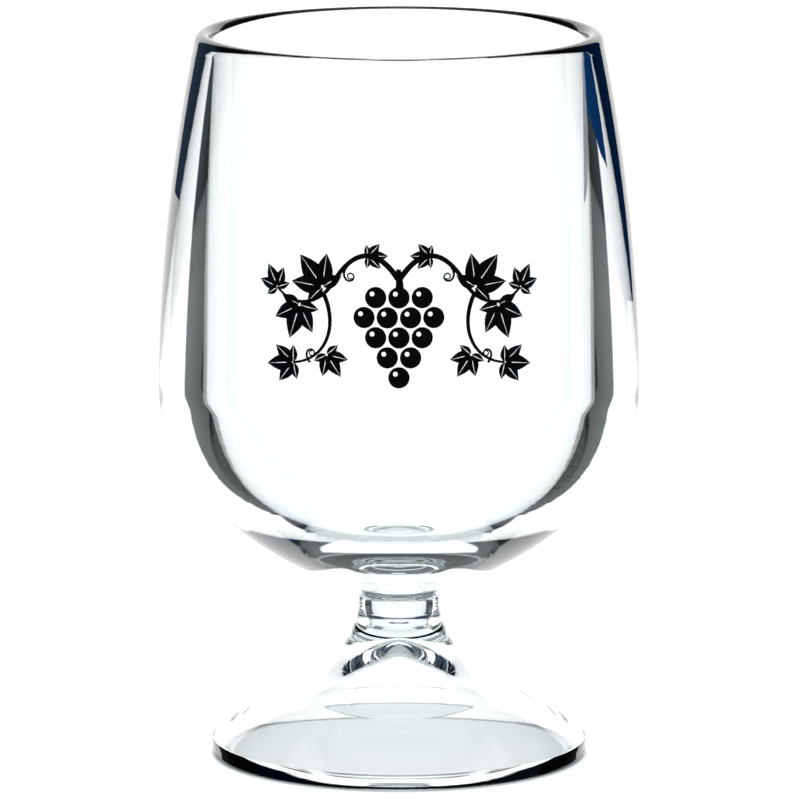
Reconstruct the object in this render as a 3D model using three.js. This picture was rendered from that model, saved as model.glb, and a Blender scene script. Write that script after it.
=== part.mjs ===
// A plastic wine glass moulded in two pieces that push together. The bowl carries a short round peg
// under its thick base. The foot is a hollow trumpet whose solid neck has a blind socket to take the peg.
// Millimetres, +Z up. The origin is on the table, under the middle of the foot.

import * as THREE from 'three';

// Whole glass
const glassHeight = 127;
const seatHeight = 27.9;
const turnSteps = 96;

// Bowl outside: the widest ring lies this far above the seat
const rimRadius = 35.5;
const bellyRadius = 41.95;
const bellyRise = 36.5;
const flankPower = 1.89;
const undersideSpreadPower = 1.5;
const undersideDropPower = 1.95;

// Bowl inside: the cavity is nearly straight, so the wall is thickest at the belly and the base is solid
const rimWall = 3.1;
const bellyWall = 7.7;
const floorThickness = 12;
const cavityWidestRise = 37.7;
const cavityFlankPower = 2.2;
const cavitySpreadPower = 2.68;
const cavityDropPower = 1.78;

// Neck of the foot and the push fit in it
const neckRadius = 7;
const neckWall = 1.5;
const fitClearance = 0.05;
const seatInset = 0.6;
const pegLength = 5.5;
const pegChamfer = 0.4;
const pegEndAir = 0.1;
const boreChamfer = 0.3;

// Foot outside: two curves meet at the shoulder
const footRadius = 32.7;
const footEdgeHeight = 2.8;
const footEdgeRound = 0.3;
const shoulderRadius = 19.57;
const shoulderHeight = 10.85;
const shoulderSlope = 0.432;
const neckHandleShare = 0.395;
const shoulderInShare = 0.658;
const shoulderOutShare = 0.615;
const edgeHandleShare = 0.02;

// Foot inside: the hollow is a dome under the socket, then follows the trumpet down to a narrow flat ring
const footWall = 2.5;
const standingRingWidth = 0.8;
const domeHeight = 19.3;
const domeReach = 3.6;
const hollowInShare = 0.6;
const hollowOutShare = 0.5;
const mouthRun = 3.5;
const mouthRise = 2.6;

// How many stretches each curve is cut into
const undersideSteps = 12;
const flankSteps = 9;
const lipSteps = 6;
const cavityFlankSteps = 7;
const cavityFloorSteps = 13;
const trumpetSteps = 10;
const hollowSteps = 8;
const edgeRoundSteps = 2;

// Places that follow from the sizes
const bellyHeight = seatHeight + bellyRise;
const cavityRadius = bellyRadius - bellyWall;
const cavityWidestHeight = seatHeight + cavityWidestRise;
const floorHeight = seatHeight + floorThickness;
const lipRadius = rimWall / 2;
const lipHeight = glassHeight - lipRadius;
const boreRadius = neckRadius - neckWall;
const pegRadius = boreRadius - fitClearance;
const seatRingRadius = neckRadius - seatInset;
const pegEndHeight = seatHeight - pegLength;
const socketFloorHeight = pegEndHeight - pegEndAir;

function point(radius, height) {
  return new THREE.Vector2(radius, height);
}

// Points of a curve without its first one, which the profile already holds
function restOf(points) {
  return points.slice(1);
}

// A flank that leaves the widest ring upright and leans in towards the rim as a power of the height
function flank(widest, fromHeight, narrow, toHeight, power, steps) {
  const points = [];
  for (let step = 0; step <= steps; step += 1) {
    const rise = step / steps;
    const radius = widest - (widest - narrow) * rise ** power;
    points.push(point(radius, fromHeight + (toHeight - fromHeight) * rise));
  }
  return points;
}

// A quarter of a superellipse from its widest ring down towards its lowest point on the axis
function quarterBelow(radius, topHeight, drop, spreadPower, dropPower, lastAngle, steps) {
  const points = [];
  for (let step = 0; step <= steps; step += 1) {
    const angle = (lastAngle * step) / steps;
    const outward = Math.max(Math.cos(angle), 0) ** (2 / spreadPower);
    const downward = Math.sin(angle) ** (2 / dropPower);
    points.push(point(radius * outward, topHeight - drop * downward));
  }
  return points;
}

// A circular arc in the profile, between two angles measured from the outward direction
function arc(centreRadius, centreHeight, radius, fromAngle, toAngle, steps) {
  const points = [];
  for (let step = 0; step <= steps; step += 1) {
    const angle = fromAngle + ((toAngle - fromAngle) * step) / steps;
    points.push(point(centreRadius + radius * Math.cos(angle), centreHeight + radius * Math.sin(angle)));
  }
  return points;
}

function bezier(start, startHandle, endHandle, end, steps) {
  return new THREE.CubicBezierCurve(start, startHandle, endHandle, end).getPoints(steps);
}

// A turned solid about the vertical axis, from a profile that runs anticlockwise in radius and height
function turned(profile) {
  const geometry = new THREE.LatheGeometry(profile, turnSteps);
  geometry.rotateX(Math.PI / 2);
  return geometry;
}

// Bowl: peg, seat ring, underside, flank and lip outside, then the cavity down to its floor
function bowlProfile() {
  const peg = [
    point(0, pegEndHeight),
    point(pegRadius - pegChamfer, pegEndHeight),
    point(pegRadius, pegEndHeight + pegChamfer),
    point(pegRadius, seatHeight),
    point(seatRingRadius, seatHeight),
  ];
  const undersideEnd = Math.acos((neckRadius / bellyRadius) ** (undersideSpreadPower / 2));
  const underside = quarterBelow(bellyRadius, bellyHeight, bellyRise, undersideSpreadPower,
    undersideDropPower, undersideEnd, undersideSteps).reverse();
  const outside = flank(bellyRadius, bellyHeight, rimRadius, lipHeight, flankPower, flankSteps);
  const lip = arc(rimRadius - lipRadius, lipHeight, lipRadius, 0, Math.PI, lipSteps);
  const cavityMouth = rimRadius - rimWall;
  const inside = flank(cavityRadius, cavityWidestHeight, cavityMouth, lipHeight, cavityFlankPower,
    cavityFlankSteps).reverse();
  const floor = quarterBelow(cavityRadius, cavityWidestHeight, cavityWidestHeight - floorHeight,
    cavitySpreadPower, cavityDropPower, Math.PI / 2, cavityFloorSteps);
  floor[floor.length - 1] = point(0, floorHeight);
  return [...peg, ...underside, ...restOf(outside), ...restOf(lip), ...restOf(inside), ...restOf(floor)];
}

// Foot: the dome and the hollow down to the standing ring, then edge, trumpet and neck outside, and the socket
function footProfile() {
  const slopeLength = Math.hypot(1, shoulderSlope);
  const shoulder = point(shoulderRadius, shoulderHeight);
  const neckTop = point(neckRadius, seatHeight);
  const edgeTop = point(footRadius, footEdgeHeight);
  const neckHandle = point(neckRadius, seatHeight - neckHandleShare * (seatHeight - shoulderHeight));
  const inReach = shoulderInShare * (shoulderRadius - neckRadius);
  const outReach = shoulderOutShare * (footRadius - shoulderRadius);
  const edgeHandle = point(footRadius, footEdgeHeight + edgeHandleShare * (shoulderHeight - footEdgeHeight));
  const skirt = bezier(edgeTop, edgeHandle,
    point(shoulderRadius + outReach, shoulderHeight - shoulderSlope * outReach), shoulder, trumpetSteps);
  const trumpet = bezier(shoulder,
    point(shoulderRadius - inReach, shoulderHeight + shoulderSlope * inReach), neckHandle, neckTop, trumpetSteps);

  const hollowRadius = footRadius - standingRingWidth;
  const innerShoulder = point(
    shoulderRadius - (footWall * shoulderSlope) / slopeLength,
    shoulderHeight - footWall / slopeLength,
  );
  const upperReach = hollowInShare * (innerShoulder.x - boreRadius);
  const lowerReach = hollowOutShare * (hollowRadius - innerShoulder.x);
  const dome = bezier(point(0, domeHeight), point(domeReach, domeHeight),
    point(innerShoulder.x - upperReach, innerShoulder.y + shoulderSlope * upperReach), innerShoulder, hollowSteps);
  const mouth = bezier(innerShoulder,
    point(innerShoulder.x + lowerReach, innerShoulder.y - shoulderSlope * lowerReach),
    point(hollowRadius - mouthRun, mouthRise), point(hollowRadius, 0), hollowSteps);

  const edgeRound = arc(footRadius - footEdgeRound, footEdgeRound, footEdgeRound, -Math.PI / 2, 0, edgeRoundSteps);
  const socket = [
    point(boreRadius + boreChamfer, seatHeight),
    point(boreRadius, seatHeight - boreChamfer),
    point(boreRadius, socketFloorHeight),
    point(0, socketFloorHeight),
  ];
  return [...dome, ...restOf(mouth), ...edgeRound, ...skirt, ...restOf(trumpet), ...socket];
}

// Clear moulded plastic
function clearPlastic() {
  return new THREE.MeshStandardMaterial({ color: 0xe9f3f4, roughness: 0.05, metalness: 0 });
}

const bowl = new THREE.Mesh(turned(bowlProfile()), clearPlastic());
bowl.name = 'bowl';

const foot = new THREE.Mesh(turned(footProfile()), clearPlastic());
foot.name = 'foot';

const wineGlass = new THREE.Group();
wineGlass.name = 'plastic_wine_glass';
wineGlass.add(foot, bowl);

export default wineGlass;
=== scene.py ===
import math

import bmesh
import bpy
import numpy as np
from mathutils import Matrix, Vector


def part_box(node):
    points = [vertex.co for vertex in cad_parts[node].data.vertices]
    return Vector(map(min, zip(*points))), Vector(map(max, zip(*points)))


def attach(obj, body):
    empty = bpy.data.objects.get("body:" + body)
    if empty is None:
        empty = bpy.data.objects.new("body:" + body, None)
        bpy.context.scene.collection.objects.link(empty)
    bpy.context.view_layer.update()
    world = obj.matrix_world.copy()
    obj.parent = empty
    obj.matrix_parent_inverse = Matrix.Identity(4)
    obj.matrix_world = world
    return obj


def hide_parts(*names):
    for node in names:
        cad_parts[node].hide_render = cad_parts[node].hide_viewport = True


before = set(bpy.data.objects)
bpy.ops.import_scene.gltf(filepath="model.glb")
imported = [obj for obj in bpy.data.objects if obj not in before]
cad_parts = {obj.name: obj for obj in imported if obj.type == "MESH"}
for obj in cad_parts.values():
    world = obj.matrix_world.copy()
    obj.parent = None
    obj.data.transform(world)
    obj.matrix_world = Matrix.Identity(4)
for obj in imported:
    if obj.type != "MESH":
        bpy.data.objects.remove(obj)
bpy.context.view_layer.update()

MM = 0.001

# Camera
# A long lens ten degrees above the table, square to the front of the glass. The light dome in the last
# section is fixed to the camera's dolly and goes round the glass with it.
CAMERA_AIM = Vector((0.18, 0.0, 62.35)) * MM
CAMERA_ELEVATION = math.radians(10.105)
CAMERA_DISTANCE = 1.5404
CAMERA_LENS = 398.0
CAMERA_FAR_CLIP = 20.0

camera = bpy.data.objects.new("camera", bpy.data.cameras.new("camera"))
bpy.context.scene.collection.objects.link(camera)
camera.data.lens = CAMERA_LENS
camera.data.clip_end = CAMERA_FAR_CLIP
camera.location = CAMERA_AIM + CAMERA_DISTANCE * Vector(
    (0.0, -math.cos(CAMERA_ELEVATION), math.sin(CAMERA_ELEVATION))
)
camera.rotation_euler = (math.pi / 2 - CAMERA_ELEVATION, 0.0, 0.0)
bpy.context.scene.camera = camera

# Bowl
# One thick moulding of clear styrene, with the short peg under its base that pushes into the foot. The
# cavity is nearly straight, so the wall is thin at the lip, thick at the belly, and the base is solid.
bowl_low, bowl_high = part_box("bowl")
foot_low, foot_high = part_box("foot")
RIM_HEIGHT = bowl_high[2] / MM
BELLY_RADIUS = bowl_high[0] / MM
PEG_END_HEIGHT = bowl_low[2] / MM
SEAT_HEIGHT = foot_high[2] / MM
RIM_RADIUS = 35.5
BELLY_RISE = 36.5
FLANK_POWER = 1.89
UNDERSIDE_SPREAD_POWER = 1.5
UNDERSIDE_DROP_POWER = 1.95
RIM_WALL = 3.1
BELLY_WALL = 7.7
FLOOR_THICKNESS = 12.0
CAVITY_WIDEST_RISE = 37.7
CAVITY_FLANK_POWER = 2.2
CAVITY_SPREAD_POWER = 2.68
CAVITY_DROP_POWER = 1.78
NECK_RADIUS = 7.0
NECK_WALL = 1.5
FIT_CLEARANCE = 0.05
SEAT_INSET = 0.6
SEAT_AIR = 0.02
PEG_ROUND = 0.4
GATE_RADIUS = 1.1
GATE_HEIGHT = 0.25
CORNER_ROUND = 0.15
TURN_STEPS = 192
PROFILE_SPACING = 2.0
FLOW_DEPTH = 0.012
FLOW_START = 4.0
FLOW_FADE = 12.0
CORNER_POINTS = 5
UNDERSIDE_POINTS = 90
FLANK_POINTS = 50
LIP_POINTS = 25
CAVITY_FLANK_POINTS = 40
FLOOR_POINTS = 80

BELLY_HEIGHT = SEAT_HEIGHT + BELLY_RISE
CAVITY_RADIUS = BELLY_RADIUS - BELLY_WALL
CAVITY_WIDEST_HEIGHT = SEAT_HEIGHT + CAVITY_WIDEST_RISE
FLOOR_HEIGHT = SEAT_HEIGHT + FLOOR_THICKNESS
LIP_RADIUS = RIM_WALL / 2
LIP_HEIGHT = RIM_HEIGHT - LIP_RADIUS
BORE_RADIUS = NECK_RADIUS - NECK_WALL
PEG_RADIUS = BORE_RADIUS - FIT_CLEARANCE


def power_flank(widest, from_height, narrow, to_height, power, count):
    """Points (radius, height): the radius falls from widest to narrow as the given power of the rise."""
    rise = np.linspace(0.0, 1.0, count)
    return np.c_[widest - (widest - narrow) * rise**power, from_height + (to_height - from_height) * rise]


def superellipse_quarter(radius, top, drop, spread_power, drop_power, last_angle, count):
    """Points (radius, height): radius x cos(t)^(2/spread power) and top - drop x sin(t)^(2/drop power)."""
    angle = np.linspace(0.0, last_angle, count)
    outward = np.clip(np.cos(angle), 0.0, 1.0) ** (2 / spread_power)
    return np.c_[radius * outward, top - drop * np.sin(angle) ** (2 / drop_power)]


def arc(centre, radius, first_degrees, last_degrees, count):
    """Points (radius, height) on a circle, from the first angle to the last, measured from outward."""
    angle = np.radians(np.linspace(first_degrees, last_degrees, count))
    return np.c_[centre[0] + radius * np.cos(angle), centre[1] + radius * np.sin(angle)]


def rounded(corners, radius, count=CORNER_POINTS):
    """A path of straight stretches. Each inner corner is cut by a parabola that starts radius before it."""
    corners = np.asarray(corners, float)
    parts = [corners[:1]]
    share = np.linspace(0.0, 1.0, count)[:, None]
    for before, corner, after in zip(corners[:-2], corners[1:-1], corners[2:]):
        into, out = before - corner, after - corner
        reach = min(radius, np.linalg.norm(into) / 2.1, np.linalg.norm(out) / 2.1)
        start = corner + into / np.linalg.norm(into) * reach
        end = corner + out / np.linalg.norm(out) * reach
        parts.append((1 - share) ** 2 * start + 2 * share * (1 - share) * corner + share**2 * end)
    return np.vstack([*parts, corners[-1:]])


def evenly(profile, spacing):
    """The same path with a point put in at every spacing along it, and doubled points left out."""
    steps = np.hypot(*np.diff(profile, axis=0).T)
    profile = profile[np.r_[True, steps > 1e-6]]
    along = np.r_[0.0, np.cumsum(np.hypot(*np.diff(profile, axis=0).T))]
    places = np.unique(np.round(np.r_[along, np.arange(0.0, along[-1], spacing)], 7))
    places = places[np.r_[True, np.diff(places) > 1e-4]]
    places[-1] = along[-1]
    return np.c_[np.interp(places, along, profile[:, 0]), np.interp(places, along, profile[:, 1])]


def flow_waves(angle, height, depth):
    """How far the surface dips in towards the axis: three slow sine waves round and up the wall. They are
    zero up to a little above the seat and reach their full depth over the height after it."""
    wave = np.sin(3 * angle + 0.11 * height) + np.sin(5 * angle - 0.07 * height + 1.3)
    wave = wave + np.sin(2 * angle + 0.19 * height + 4.0)
    fade = np.clip((height - SEAT_HEIGHT - FLOW_START) / FLOW_FADE, 0.0, 1.0)
    return depth * fade * (wave - 3.0) / 6.0


def turned(name, profile, waves=0.0):
    """A closed mesh from a profile (radius, height) in millimetres turned about the axis. Every point off
    the axis becomes a ring, and the points on it, one at each end of the profile, become the poles."""
    angle = np.arange(TURN_STEPS) * (2 * np.pi / TURN_STEPS)
    rings = profile[profile[:, 0] > 1e-6]
    radius, height = rings[:, :1], rings[:, 1:]
    radius = radius + flow_waves(angle[None, :], height, waves)
    points = np.stack([radius * np.cos(angle), radius * np.sin(angle), height + 0.0 * angle], axis=-1)
    points = points.reshape(-1, 3)
    here = np.arange(TURN_STEPS)
    there = (here + 1) % TURN_STEPS
    lower = np.arange(len(rings) - 1)[:, None] * TURN_STEPS
    upper = lower + TURN_STEPS
    walls = np.stack([lower + here, lower + there, upper + there, upper + here], axis=-1)
    first_pole, last_pole = len(points), len(points) + 1
    points = np.vstack([points, [0.0, 0.0, profile[0, 1]], [0.0, 0.0, profile[-1, 1]]])
    last_ring = (len(rings) - 1) * TURN_STEPS
    faces = walls.reshape(-1, 4).tolist()
    faces += np.c_[np.full(TURN_STEPS, first_pole), there, here].tolist()
    faces += np.c_[last_ring + here, last_ring + there, np.full(TURN_STEPS, last_pole)].tolist()
    mesh = bpy.data.meshes.new(name)
    mesh.from_pydata((points * MM).tolist(), [], faces)
    mesh.polygons.foreach_set("use_smooth", np.ones(len(mesh.polygons), bool))
    piece = bpy.data.objects.new(name, mesh)
    bpy.context.scene.collection.objects.link(piece)
    return piece


def bowl_profile():
    """Gate mark, peg, seat ring, underside, flank and lip outside, then the cavity down to its floor."""
    seat = SEAT_HEIGHT + SEAT_AIR
    underside_end = math.acos((NECK_RADIUS / BELLY_RADIUS) ** (UNDERSIDE_SPREAD_POWER / 2))
    underside = superellipse_quarter(BELLY_RADIUS, BELLY_HEIGHT, BELLY_RISE, UNDERSIDE_SPREAD_POWER,
                                     UNDERSIDE_DROP_POWER, underside_end, UNDERSIDE_POINTS)[::-1]
    peg = rounded([
        (0.0, PEG_END_HEIGHT),
        (GATE_RADIUS, PEG_END_HEIGHT),
        (GATE_RADIUS, PEG_END_HEIGHT + GATE_HEIGHT),
        (PEG_RADIUS - PEG_ROUND, PEG_END_HEIGHT + GATE_HEIGHT),
        (PEG_RADIUS, PEG_END_HEIGHT + GATE_HEIGHT + PEG_ROUND),
        (PEG_RADIUS, seat),
        (NECK_RADIUS - SEAT_INSET, seat),
        underside[0],
        underside[4],
    ], CORNER_ROUND)
    outside = power_flank(BELLY_RADIUS, BELLY_HEIGHT, RIM_RADIUS, LIP_HEIGHT, FLANK_POWER, FLANK_POINTS)
    lip = arc((RIM_RADIUS - LIP_RADIUS, LIP_HEIGHT), LIP_RADIUS, 0.0, 180.0, LIP_POINTS)
    inside = power_flank(CAVITY_RADIUS, CAVITY_WIDEST_HEIGHT, RIM_RADIUS - RIM_WALL, LIP_HEIGHT,
                         CAVITY_FLANK_POWER, CAVITY_FLANK_POINTS)[::-1]
    floor = superellipse_quarter(CAVITY_RADIUS, CAVITY_WIDEST_HEIGHT, CAVITY_WIDEST_HEIGHT - FLOOR_HEIGHT,
                                 CAVITY_SPREAD_POWER, CAVITY_DROP_POWER, math.pi / 2, FLOOR_POINTS)
    floor[-1, 0] = 0.0
    return np.vstack([peg, underside[5:], outside[1:], lip[1:], inside[1:], floor[1:]])


def node_tools(tree):
    """Short calls for a node tree: add a node with plain socket values, and link two sockets."""
    def add(kind, **values):
        node = tree.nodes.new(kind)
        for key, value in values.items():
            if hasattr(node, key):
                setattr(node, key, value)
            else:
                node.inputs[key.replace("_", " ")].default_value = value
        return node
    return add, tree.links.new


def moulding_marks():
    """Shader group for a polished moulding: slow flow waves as a normal, hair scratches as roughness."""
    group = bpy.data.node_groups.new("moulding_marks", "ShaderNodeTree")
    group.interface.new_socket("Vector", in_out="INPUT", socket_type="NodeSocketVector")
    for label, value in (("Polish", 0.01), ("Scratches", 0.05), ("Flow Depth", 0.00002)):
        group.interface.new_socket(label, in_out="INPUT", socket_type="NodeSocketFloat").default_value = value
    group.interface.new_socket("Roughness", in_out="OUTPUT", socket_type="NodeSocketFloat")
    group.interface.new_socket("Normal", in_out="OUTPUT", socket_type="NodeSocketVector")
    add, link = node_tools(group)
    given = add("NodeGroupInput")
    flow = add("ShaderNodeTexNoise", Scale=38.0, Detail=1.0, Roughness=0.4)
    link(given.outputs["Vector"], flow.inputs["Vector"])
    streak_space = add("ShaderNodeMapping")
    streak_space.inputs["Scale"].default_value = (900.0, 900.0, 60.0)
    streak_space.inputs["Rotation"].default_value = (0.5, 0.3, 0.9)
    link(given.outputs["Vector"], streak_space.inputs["Vector"])
    streak = add("ShaderNodeTexNoise", Scale=1.0, Detail=2.0, Roughness=0.5)
    link(streak_space.outputs["Vector"], streak.inputs["Vector"])
    hair = add("ShaderNodeMapRange", From_Min=0.66, From_Max=0.74)
    link(streak.outputs["Fac"], hair.inputs["Value"])
    scratched = add("ShaderNodeMath", operation="MULTIPLY")
    link(hair.outputs["Result"], scratched.inputs[0])
    link(given.outputs["Scratches"], scratched.inputs[1])
    rough = add("ShaderNodeMath", operation="ADD")
    link(scratched.outputs["Value"], rough.inputs[0])
    link(given.outputs["Polish"], rough.inputs[1])
    depth = add("ShaderNodeMath", operation="MULTIPLY")
    link(flow.outputs["Fac"], depth.inputs[0])
    link(given.outputs["Flow Depth"], depth.inputs[1])
    bump = add("ShaderNodeBump", Strength=1.0, Distance=1.0)
    link(depth.outputs["Value"], bump.inputs["Height"])
    result = add("NodeGroupOutput")
    link(rough.outputs["Value"], result.inputs["Roughness"])
    link(bump.outputs["Normal"], result.inputs["Normal"])
    return group


marks_group = moulding_marks()


def clear_plastic():
    """Clear styrene: it refracts strongly and tints long paths a faint blue-green. Shadow rays pass straight
    through it, darkened only at the foot's lowest edge, where the real foot casts its thin shadow."""
    material = bpy.data.materials.new("clear_plastic")
    material.use_nodes = True
    add, link = node_tools(material.node_tree)
    shader = material.node_tree.nodes["Principled BSDF"]
    output = material.node_tree.nodes["Material Output"]
    shader.inputs["IOR"].default_value = 1.57
    shader.inputs["Transmission Weight"].default_value = 1.0
    place = add("ShaderNodeTexCoord")
    marks = add("ShaderNodeGroup", node_tree=marks_group)
    marks.inputs["Polish"].default_value = 0.004
    marks.inputs["Scratches"].default_value = 0.03
    link(place.outputs["Object"], marks.inputs["Vector"])
    link(marks.outputs["Roughness"], shader.inputs["Roughness"])
    link(marks.outputs["Normal"], shader.inputs["Normal"])
    cast = add("ShaderNodeTexNoise", Scale=14.0, Detail=1.0)
    link(place.outputs["Object"], cast.inputs["Vector"])
    tint = add("ShaderNodeMix", data_type="RGBA")
    tint.inputs["A"].default_value = (0.972, 0.992, 0.996, 1.0)
    tint.inputs["B"].default_value = (0.99, 0.998, 1.0, 1.0)
    link(cast.outputs["Fac"], tint.inputs["Factor"])
    link(tint.outputs["Result"], shader.inputs["Base Color"])
    light_path = add("ShaderNodeLightPath")
    height = add("ShaderNodeSeparateXYZ")
    link(place.outputs["Object"], height.inputs["Vector"])
    above_edge = add("ShaderNodeMapRange", From_Min=0.0003, From_Max=0.0009)
    link(height.outputs["Z"], above_edge.inputs["Value"])
    shade = add("ShaderNodeMix", data_type="RGBA")
    shade.inputs["A"].default_value = (0.25, 0.31, 0.33, 1.0)
    shade.inputs["B"].default_value = (0.985, 0.99, 0.99, 1.0)
    link(above_edge.outputs["Result"], shade.inputs["Factor"])
    through = add("ShaderNodeBsdfTransparent")
    link(shade.outputs["Result"], through.inputs["Color"])
    shown = add("ShaderNodeMixShader")
    link(light_path.outputs["Is Shadow Ray"], shown.inputs["Fac"])
    link(shader.outputs["BSDF"], shown.inputs[1])
    link(through.outputs["BSDF"], shown.inputs[2])
    link(shown.outputs["Shader"], output.inputs["Surface"])
    body = add("ShaderNodeVolumeAbsorption")
    body.inputs["Color"].default_value = (0.55, 0.87, 0.9, 1.0)
    body.inputs["Density"].default_value = 4.0
    link(body.outputs["Volume"], output.inputs["Volume"])
    return material


clear = clear_plastic()
bowl = turned("clear_bowl", evenly(bowl_profile(), PROFILE_SPACING), FLOW_DEPTH)
bowl.data.materials.append(clear)
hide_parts("bowl")
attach(bowl, "bowl")

# Foot
# A hollow trumpet moulded in the same plastic. Its neck is solid but for a blind socket that takes the
# bowl's peg, and the hollow under it ends in a dome. The glass stands on the flat ring round its mouth.
FOOT_RADIUS = foot_high[0] / MM
FOOT_EDGE_HEIGHT = 2.8
FOOT_EDGE_ROUND = 0.3
SHOULDER = np.array((19.57, 10.85))
SHOULDER_SLOPE = 0.432
FOOT_WALL = 2.5
STANDING_RING_WIDTH = 0.8
MOUTH_RUN = 3.5
MOUTH_RISE = 2.6
PEG_END_AIR = 0.1
DOME_HEIGHT = 19.3
DOME_REACH = 3.6
BORE_CHAMFER = 0.3
SOCKET_FLOOR_HEIGHT = PEG_END_HEIGHT - PEG_END_AIR
NECK_HANDLE_SHARE = 0.395
SHOULDER_IN_SHARE = 0.658
SHOULDER_OUT_SHARE = 0.615
EDGE_HANDLE_SHARE = 0.02
HOLLOW_IN_SHARE = 0.6
HOLLOW_OUT_SHARE = 0.5
TRUMPET_POINTS = 70
DOME_POINTS = 60
MOUTH_POINTS = 50
EDGE_POINTS = 9


def bezier(start, start_handle, end_handle, end, count):
    """Points (radius, height) on a cubic Bezier curve."""
    share = np.linspace(0.0, 1.0, count)[:, None]
    weights = (1 - share) ** 3, 3 * (1 - share) ** 2 * share, 3 * (1 - share) * share**2, share**3
    return sum(w * np.asarray(p, float) for w, p in zip(weights, (start, start_handle, end_handle, end)))


def foot_profile():
    """The dome and the hollow down to the standing ring, then edge, trumpet, neck, and the socket in it."""
    along = np.array((1.0, -SHOULDER_SLOPE))
    inward = np.array((-SHOULDER_SLOPE, -1.0)) / math.hypot(1.0, SHOULDER_SLOPE)
    neck_top = SEAT_HEIGHT - SEAT_AIR
    in_reach = SHOULDER_IN_SHARE * (SHOULDER[0] - NECK_RADIUS)
    out_reach = SHOULDER_OUT_SHARE * (FOOT_RADIUS - SHOULDER[0])
    edge_handle = FOOT_EDGE_HEIGHT + EDGE_HANDLE_SHARE * (SHOULDER[1] - FOOT_EDGE_HEIGHT)
    neck_handle = SEAT_HEIGHT - NECK_HANDLE_SHARE * (SEAT_HEIGHT - SHOULDER[1])
    skirt = bezier((FOOT_RADIUS, FOOT_EDGE_HEIGHT), (FOOT_RADIUS, edge_handle),
                   SHOULDER + along * out_reach, SHOULDER, TRUMPET_POINTS)
    trumpet = bezier(SHOULDER, SHOULDER - along * in_reach, (NECK_RADIUS, neck_handle),
                     (NECK_RADIUS, neck_top), TRUMPET_POINTS)
    inner = SHOULDER + inward * FOOT_WALL
    hollow_radius = FOOT_RADIUS - STANDING_RING_WIDTH
    upper_reach = HOLLOW_IN_SHARE * (inner[0] - BORE_RADIUS)
    lower_reach = HOLLOW_OUT_SHARE * (hollow_radius - inner[0])
    dome = bezier((0.0, DOME_HEIGHT), (DOME_REACH, DOME_HEIGHT), inner - along * upper_reach, inner,
                  DOME_POINTS)
    mouth = bezier(inner, inner + along * lower_reach, (hollow_radius - MOUTH_RUN, MOUTH_RISE),
                   (hollow_radius, 0.0), MOUTH_POINTS)
    edge = arc((FOOT_RADIUS - FOOT_EDGE_ROUND, FOOT_EDGE_ROUND), FOOT_EDGE_ROUND, -90.0, 0.0, EDGE_POINTS)
    neck = rounded([
        trumpet[-3],
        (NECK_RADIUS, neck_top),
        (BORE_RADIUS + BORE_CHAMFER, neck_top),
        (BORE_RADIUS, neck_top - BORE_CHAMFER),
        (BORE_RADIUS, SOCKET_FLOOR_HEIGHT),
        (0.0, SOCKET_FLOOR_HEIGHT),
    ], CORNER_ROUND)
    ring = rounded([mouth[-4], (hollow_radius, 0.0), edge[0]], CORNER_ROUND)
    return np.vstack([dome, mouth[1:-4], ring[:-1], edge, skirt[1:], trumpet[1:-3], neck])


foot = turned("clear_foot", evenly(foot_profile(), PROFILE_SPACING))
foot.data.materials.append(clear)
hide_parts("foot")
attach(foot, "foot")

# Print
# A screen print in satin black ink on the front of the bowl: grapes between two leafy vine shoots.
# The ink is a film that stands two hundredths of a millimetre proud and is keyed into the plastic.
PRINT_HEIGHT = 83.8
INK_PROUD = 0.02
INK_KEY = 0.03
STRIP_POINTS = 7
LEAST_WIDTH = 0.04
GRAPE_RADIUS = 1.82
GRAPE_PITCH = 3.95
GRAPE_ROW_DROP = 3.4
GRAPE_ROWS = (3, 4, 3, 2, 1)
BUNCH_TOP = 3.4
SHINE_RADIUS = 0.4
SHINE_PLACE = (-0.6, 0.62)
VEIN_GAP = 0.16
LOBES = ((0.0, 1.0), (46.0, 0.86), (-46.0, 0.86), (98.0, 0.6), (-98.0, 0.6))


def stroke(path, half_width):
    """The two edges of a brush stroke: the path moved by half_width to either side of its direction."""
    ahead = np.gradient(path, axis=0)
    ahead /= np.linalg.norm(ahead, axis=1, keepdims=True)
    side = np.c_[-ahead[:, 1], ahead[:, 0]] * np.broadcast_to(half_width, len(path))[:, None]
    return path + side, path - side


def vine_leaf(base, heading, length):
    """Edges of a palmate leaf: pointed lobes fan out from the base. Each is two halves beside a bare vein,
    and half its width is 0.27 x its length x sin(pi x share of the length to the power 0.8)."""
    share = np.linspace(0.03, 1.0, 26)[:, None]
    halves = []
    for turn, scale in LOBES:
        angle = math.radians(heading + turn)
        along = np.array((math.cos(angle), math.sin(angle)))
        side = np.array((-math.sin(angle), math.cos(angle)))
        vein = np.asarray(base) + share * along * length * scale
        bare = VEIN_GAP * (1.1 - share) / 2
        reach = np.maximum(0.27 * length * scale * np.sin(np.pi * share**0.8), bare + LEAST_WIDTH)
        halves += [(vein + hand * side * bare, vein + hand * side * reach) for hand in (-1, 1)]
    return halves


def tendril(root, heading, reach, turns, hand):
    """Edges of a curling tendril: its direction winds up faster as it goes, and it thins to a hair."""
    share = np.linspace(0.0, 1.0, 90)
    angle = math.radians(heading) + hand * 2 * np.pi * turns * share**1.9
    path = np.asarray(root) + np.cumsum(np.c_[np.cos(angle), np.sin(angle)], axis=0) * reach / 90
    return stroke(path, 0.24 - 0.14 * share)


def grape(centre):
    """Edges of a grape: a circle, and a small bare circle near its top left, the shine on the skin."""
    angle = np.linspace(0.0, 2 * np.pi, 48, endpoint=False)
    ring = np.c_[np.cos(angle), np.sin(angle)]
    return centre + GRAPE_RADIUS * ring, centre + np.array(SHINE_PLACE) + SHINE_RADIUS * ring


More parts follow.
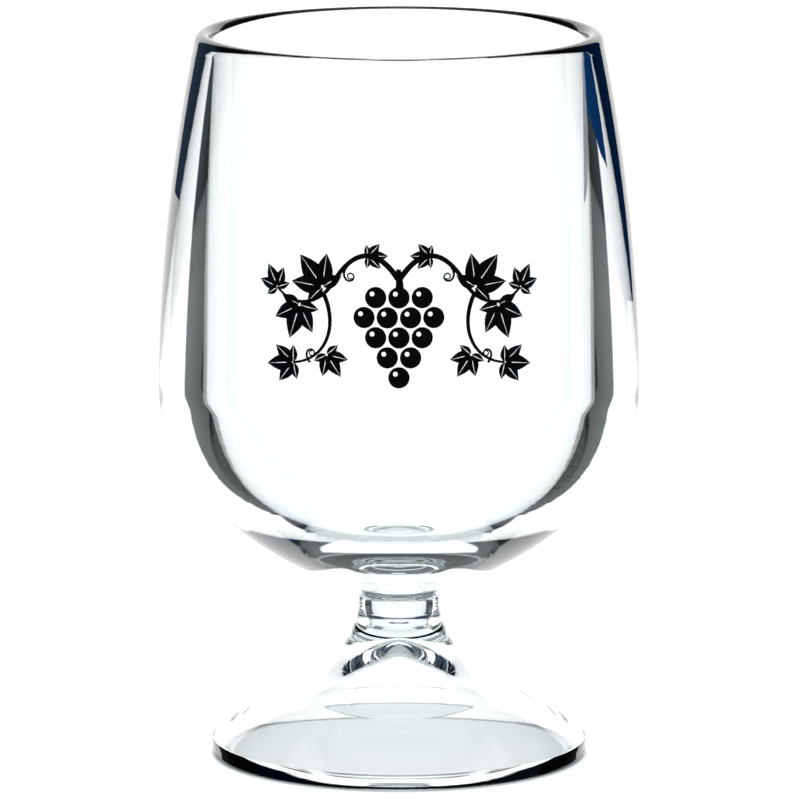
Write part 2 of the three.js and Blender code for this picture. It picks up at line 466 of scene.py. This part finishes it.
def shoot_edges():
    """Edges of everything on the right-hand shoot: main stem, a branch under it, leaves and tendrils."""
    rise = bezier((0.2, 6.6), (4.6, 13.2), (8.6, 10.2), (11.4, 5.6), 40)
    fall = bezier((11.4, 5.6), (13.6, 2.0), (18.4, 0.8), (21.6, 4.4), 40)
    stem = np.vstack([rise, fall[1:]])
    branch = bezier((12.9, 3.6), (10.4, -1.6), (12.4, -7.6), (18.6, -8.2), 40)
    edges = [stroke(stem, np.linspace(0.5, 0.22, len(stem)))]
    edges += [stroke(branch, np.linspace(0.4, 0.2, len(branch)))]
    edges += vine_leaf((13.2, 5.0), 52.0, 6.6) + vine_leaf((5.2, 10.3), 178.0, 3.4)
    edges += vine_leaf((17.4, 1.6), -72.0, 6.0) + vine_leaf((21.6, 4.4), 64.0, 4.2)
    edges += vine_leaf((18.6, -8.2), -6.0, 5.0) + vine_leaf((12.4, -6.6), 236.0, 4.4)
    edges += [tendril((8.6, 8.9), -52.0, 7.5, 1.5, -1), tendril((15.4, -8.1), 52.0, 6.0, 1.4, 1)]
    return edges


def on_bowl(flat, lift):
    """Points (across, up) in millimetres, laid round the front of the bowl's flank and lifted off it."""
    height = PRINT_HEIGHT + flat[..., 1]
    rise = (height - BELLY_HEIGHT) / (LIP_HEIGHT - BELLY_HEIGHT)
    radius = BELLY_RADIUS - (BELLY_RADIUS - RIM_RADIUS) * rise**FLANK_POWER + lift
    angle = flat[..., 0] / radius
    return np.stack([radius * np.sin(angle), -radius * np.cos(angle), height], axis=-1)


def ink_strip(edge, other_edge, closed):
    """A thin closed solid between two edge curves: each station has a row of points in front and behind."""
    share = np.linspace(0.0, 1.0, STRIP_POINTS)[None, :, None]
    flat = edge[:, None] * (1 - share) + other_edge[:, None] * share
    section = np.concatenate([on_bowl(flat, INK_PROUD), on_bowl(flat, -INK_KEY)[:, ::-1]], axis=1)
    stations, round_it = section.shape[:2]
    here = np.arange(round_it)
    there = (here + 1) % round_it
    low = np.arange(stations if closed else stations - 1)[:, None] * round_it
    high = (low + round_it) % (stations * round_it)
    faces = np.stack([low + here, low + there, high + there, high + here], axis=-1).reshape(-1, 4)
    if not closed:
        front = np.arange(STRIP_POINTS - 1)
        cap = np.stack([front, front + 1, round_it - 2 - front, round_it - 1 - front], axis=-1)
        faces = np.vstack([faces, cap, cap[:, ::-1] + (stations - 1) * round_it])
    return section.reshape(-1, 3), faces


def satin_ink():
    """Black screen ink: nearly even, with the faint cloud and fine tooth that a mesh screen leaves."""
    material = bpy.data.materials.new("print_ink")
    material.use_nodes = True
    add, link = node_tools(material.node_tree)
    shader = material.node_tree.nodes["Principled BSDF"]
    shader.inputs["Specular IOR Level"].default_value = 0.35
    place = add("ShaderNodeTexCoord")
    cloud = add("ShaderNodeTexNoise", Scale=260.0, Detail=3.0)
    link(place.outputs["Object"], cloud.inputs["Vector"])
    shade = add("ShaderNodeMix", data_type="RGBA")
    shade.inputs["A"].default_value = (0.004, 0.004, 0.0045, 1.0)
    shade.inputs["B"].default_value = (0.011, 0.011, 0.012, 1.0)
    link(cloud.outputs["Fac"], shade.inputs["Factor"])
    link(shade.outputs["Result"], shader.inputs["Base Color"])
    rough = add("ShaderNodeMapRange", To_Min=0.34, To_Max=0.5)
    link(cloud.outputs["Fac"], rough.inputs["Value"])
    link(rough.outputs["Result"], shader.inputs["Roughness"])
    tooth = add("ShaderNodeTexNoise", Scale=5200.0, Detail=1.0)
    link(place.outputs["Object"], tooth.inputs["Vector"])
    bump = add("ShaderNodeBump", Strength=0.25, Distance=0.00001)
    link(tooth.outputs["Fac"], bump.inputs["Height"])
    link(bump.outputs["Normal"], shader.inputs["Normal"])
    return material


mirror = np.array((-1.0, 1.0))
right_shoot = shoot_edges()
strips = [ink_strip(a, b, False) for a, b in right_shoot]
strips += [ink_strip(a * mirror, b * mirror, False) for a, b in right_shoot]
stalk = bezier((0.0, 4.4), (0.4, 6.0), (-0.3, 7.0), (0.0, 8.2), 12)
strips.append(ink_strip(*stroke(stalk, np.linspace(0.75, 0.4, 12)), False))
for row, count in enumerate(GRAPE_ROWS):
    for place in range(count):
        across = (place - (count - 1) / 2) * GRAPE_PITCH
        strips.append(ink_strip(*grape(np.array((across, BUNCH_TOP - row * GRAPE_ROW_DROP))), True))
offsets = np.cumsum([0] + [len(points) for points, faces in strips[:-1]])
print_points = np.vstack([points for points, faces in strips]) * MM
print_faces = np.vstack([faces + offset for (points, faces), offset in zip(strips, offsets)])
print_mesh = bpy.data.meshes.new("vine_print")
print_mesh.from_pydata(print_points.tolist(), [], print_faces.tolist())
work = bmesh.new()
work.from_mesh(print_mesh)
bmesh.ops.recalc_face_normals(work, faces=work.faces)
work.to_mesh(print_mesh)
work.free()
print_mesh.polygons.foreach_set("use_smooth", np.ones(len(print_mesh.polygons), bool))
print_mesh.set_sharp_from_angle(angle=math.radians(30.0))
vine_print = bpy.data.objects.new("vine_print", print_mesh)
bpy.context.scene.collection.objects.link(vine_print)
print_mesh.materials.append(satin_ink())
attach(vine_print, "bowl")

# Floor and light
# A white table, a disc little wider than the foot, stands in a dome of soft light fixed to the camera. The
# dome has a wide white window behind the glass, dark cards beside it that draw the glass's dark edges, and
# dim blue walls. Two blue panels beside the glass stay where they are when the camera moves.
TABLE_RADIUS = 0.034
TABLE_DROP = 0.0002
TABLE_POINTS = 128
TABLE_WHITE = (0.9, 0.9, 0.9, 1.0)
TABLE_GLOW = 0.12
DOME_RADIUS = 4.0
WINDOW_HALF_WIDTH = 36.0
WINDOW_TOP = 19.0
WINDOW_ARCH = 21.0
WINDOW_FOOT = -47.0
WINDOW_WHITE = 1.4
CARD_FAR_EDGE = 80.0
CARD_TOP, CARD_FOOT = 50.0, -50.0
CARD_TINT = np.array((0.92, 1.03, 1.05))
CARD_GREYS = ((36.0, 0.062), (41.0, 0.055), (46.0, 0.035), (52.0, 0.012), (180.0, 0.012))
CEILING_GREY = 0.06
SOFT_BOX_EDGE = 52.0
SOFT_BOX_WHITE = 0.5
FLOOR_GREY = 0.03
STEEL_BLUE = (0.06, 0.105, 0.18)
DEEP_BLUE = (0.004, 0.035, 0.13)
BEHIND_GREY = (0.02, 0.022, 0.025)
BEHIND_EDGES = 110.0, 140.0
DOME_COLUMNS, DOME_ROWS = 481, 240
DOME_POLE_GAP = 0.5
PANEL_DEPTH = 100.0
PANEL_TOP = 190.0
PANEL_NEAR = 88.0
PANEL_FAR = 240.0
PANEL_SIDES = ((-1, "left", STEEL_BLUE, 88.0), (1, "right", DEEP_BLUE, 64.5))
LAMP_FORWARD = 0.3
LAMP_HEIGHT = 1.4
LAMP_SIZE = 1.2
LAMP_WATTS = 22.0
ROOM_BLUE = (0.02, 0.05, 0.12, 1.0)
LIGHT_BOUNCES = 64
INNER_REFLECTIONS = 8


def ramp(value, start, end):
    """0 before start, 1 past end and a smooth cubic step between them."""
    share = np.clip((value - start) / (end - start), 0.0, 1.0)
    return share * share * (3 - 2 * share)


def dome_light(azimuth, elevation):
    """Colour of the dome at an azimuth and elevation in degrees, in the camera's axes: the room's blue
    first, then the grey behind the camera, the cards, floor, ceiling, soft box and window laid over it, each
    faded in at its edges by ramp. The window's top is an arch, highest in the middle by 1 - share squared."""
    aside = np.abs(azimuth)
    level = elevation - math.degrees(CAMERA_ELEVATION) * np.cos(np.radians(azimuth))
    leftness = ramp(azimuth, -20.0, 20.0)[..., None]
    colour = np.array(DEEP_BLUE) * (1 - leftness) + np.array(STEEL_BLUE) * leftness
    colour = colour * (0.6 + 1.2 * ramp(-level, 20.0, 70.0))[..., None]

    def lay(over, shade, mask):
        return over * (1 - mask[..., None]) + np.asarray(shade) * mask[..., None]

    colour = lay(colour, BEHIND_GREY, ramp(aside, *BEHIND_EDGES))
    card = np.interp(aside, *zip(*CARD_GREYS))[..., None] * CARD_TINT
    reach = CARD_FAR_EDGE + 20.0 * ramp(level, 10.0, 14.0)
    card_mask = (1 - ramp(aside, reach - 1, reach + 1)) * ramp(level, CARD_FOOT - 1, CARD_FOOT + 1)
    colour = lay(colour, card, card_mask * (1 - ramp(level, CARD_TOP - 2, CARD_TOP + 2)))
    narrow = 1 - ramp(aside, WINDOW_HALF_WIDTH - 0.6, WINDOW_HALF_WIDTH + 0.6)
    top = WINDOW_TOP + WINDOW_ARCH * np.clip(1 - (aside / WINDOW_HALF_WIDTH) ** 2, 0.0, 1.0)
    colour = lay(colour, FLOOR_GREY, narrow * (1 - ramp(level, WINDOW_FOOT - 2, WINDOW_FOOT)))
    colour = lay(colour, CEILING_GREY, narrow * ramp(level, top, top + 1))
    colour = lay(colour, SOFT_BOX_WHITE, ramp(level, SOFT_BOX_EDGE - 2, SOFT_BOX_EDGE + 2))
    window = narrow * ramp(level, WINDOW_FOOT - 2, WINDOW_FOOT) * (1 - ramp(level, top, top + 1))
    return lay(colour, WINDOW_WHITE, window)


def glowing(name, points, faces, colours):
    """A stage surface that shines with a colour given at each of its points."""
    mesh = bpy.data.meshes.new(name)
    mesh.from_pydata(points.tolist(), [], faces.tolist())
    shine = mesh.attributes.new("shine", "FLOAT_COLOR", "POINT")
    shine.data.foreach_set("color", np.c_[colours, np.ones(len(points))].ravel())
    material = bpy.data.materials.new(name)
    material.use_nodes = True
    tree = material.node_tree
    tree.nodes.clear()
    add, link = node_tools(tree)
    material.cycles.emission_sampling = "NONE"
    glow = add("ShaderNodeEmission")
    link(add("ShaderNodeAttribute", attribute_name="shine").outputs["Color"], glow.inputs["Color"])
    link(glow.outputs["Emission"], add("ShaderNodeOutputMaterial").inputs["Surface"])
    mesh.materials.append(material)
    surface = bpy.data.objects.new(name, mesh)
    bpy.context.scene.collection.objects.link(surface)
    surface.visible_shadow = False
    return surface


highest = 90.0 - DOME_POLE_GAP
azimuth, elevation = np.meshgrid(np.linspace(-180.0, 180.0, DOME_COLUMNS),
                                 np.linspace(-highest, highest, DOME_ROWS))
across, up = np.radians(azimuth), np.radians(elevation)
dome_points = np.stack([np.sin(across) * np.cos(up), np.sin(up), -np.cos(across) * np.cos(up)], axis=-1)
dome_points = DOME_RADIUS * dome_points
dome_corner = (np.arange(DOME_ROWS - 1)[:, None] * DOME_COLUMNS + np.arange(DOME_COLUMNS - 1)).reshape(-1, 1)
dome = glowing("light_dome", dome_points.reshape(-1, 3) - np.array((0.0, 0.0, CAMERA_DISTANCE)),
               dome_corner + np.array((0, DOME_COLUMNS, DOME_COLUMNS + 1, 1)),
               dome_light(azimuth, elevation).reshape(-1, 3))
dome.parent = camera

for side, label, colour, low in PANEL_SIDES:
    outward = side * np.array((PANEL_NEAR, PANEL_FAR, PANEL_FAR, PANEL_NEAR))
    upward = np.array((low, low, PANEL_TOP, PANEL_TOP))
    panel = glowing(f"blue_panel_{label}", np.c_[outward, np.full(4, PANEL_DEPTH), upward] * MM,
                    np.arange(4)[None, :], np.tile(colour, (4, 1)))
    panel.visible_camera = False
    panel.visible_diffuse = False

angles = np.linspace(0.0, 2 * np.pi, TABLE_POINTS, endpoint=False)
table_points = np.c_[TABLE_RADIUS * np.cos(angles), TABLE_RADIUS * np.sin(angles), 0 * angles - TABLE_DROP]
table_mesh = bpy.data.meshes.new("white_table")
table_mesh.from_pydata(table_points.tolist(), [], [list(range(TABLE_POINTS))])
table_top = bpy.data.objects.new("white_table", table_mesh)
bpy.context.scene.collection.objects.link(table_top)
table_paint = bpy.data.materials.new("table_white")
table_paint.use_nodes = True
paint_shader = table_paint.node_tree.nodes["Principled BSDF"]
paint_shader.inputs["Base Color"].default_value = TABLE_WHITE
paint_shader.inputs["Roughness"].default_value = 0.8
paint_shader.inputs["Emission Color"].default_value = (1.0, 1.0, 1.0, 1.0)
paint_shader.inputs["Emission Strength"].default_value = TABLE_GLOW
table_mesh.materials.append(table_paint)
lamp = bpy.data.objects.new("soft_lamp", bpy.data.lights.new("soft_lamp", "AREA"))
bpy.context.scene.collection.objects.link(lamp)
lamp.location = (0.0, -LAMP_FORWARD, LAMP_HEIGHT)
lamp.data.size = LAMP_SIZE
lamp.data.energy = LAMP_WATTS
lamp.visible_glossy = False
lamp.visible_transmission = False

room = bpy.data.worlds.new("dim_room")
room.use_nodes = True
room.node_tree.nodes["Background"].inputs["Color"].default_value = ROOM_BLUE
room.node_tree.nodes["Background"].inputs["Strength"].default_value = 1.0
bpy.context.scene.world = room
bpy.context.scene.view_settings.view_transform = "Standard"
bpy.context.scene.cycles.max_bounces = LIGHT_BOUNCES
bpy.context.scene.cycles.transmission_bounces = LIGHT_BOUNCES
# Light led along inside the plastic dies out after a few reflections, which keeps the foot's edge dark
bpy.context.scene.cycles.glossy_bounces = INNER_REFLECTIONS
